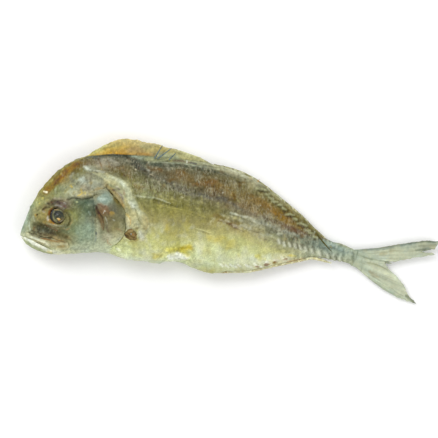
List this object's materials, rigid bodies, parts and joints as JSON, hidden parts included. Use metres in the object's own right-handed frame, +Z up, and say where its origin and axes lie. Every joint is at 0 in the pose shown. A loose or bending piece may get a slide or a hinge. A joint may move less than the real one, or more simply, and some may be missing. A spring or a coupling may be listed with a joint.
{
  "type": "dried fish",
  "caption": "Whole salt-dried fish, split along its back and lying on its side, with a blunt head, gill covers, folded fins and a forked tail.",
  "frame": {"origin": "middle of the fish's footprint, on the surface it lies on", "axes": "+X from the snout to the tail, +Y from the belly to the back, +Z up, out of the fish's left flank"},
  "size_m": [0.4016, 0.1586, 0.0421],
  "materials": {
    "skin": "salt-dried fish skin, brown mottled back, olive flank and yellow belly, satin",
    "head_bone": "dried skin over bone, grey-green, satin",
    "jaw": "dried pale skin over jaw bone, cream, satin",
    "eye": "shrunken dark eyeball, semi-gloss",
    "fin_stump": "broken fin root, dark brown, matt",
    "spine": "thin dried fin spine, grey, satin",
    "fin": "dried fin rays and membrane, pale grey-green, satin"
  },
  "bodies": {
    "root": {"body": "skin", "left_gill_cover": "head_bone", "right_gill_cover": "head_bone", "left_upper_jaw": "jaw", "right_upper_jaw": "jaw", "lower_jaw": "jaw", "left_eye": "eye", "right_eye": "eye", "left_pectoral_fin_stump": "fin_stump", "right_pectoral_fin_stump": "fin_stump", "back_spine_1": "spine", "back_spine_2": "spine", "back_spine_3": "spine", "soft_back_fin": "fin", "anal_fin": "fin", "tail_fin": "fin"}
  },
  "joints": []
}
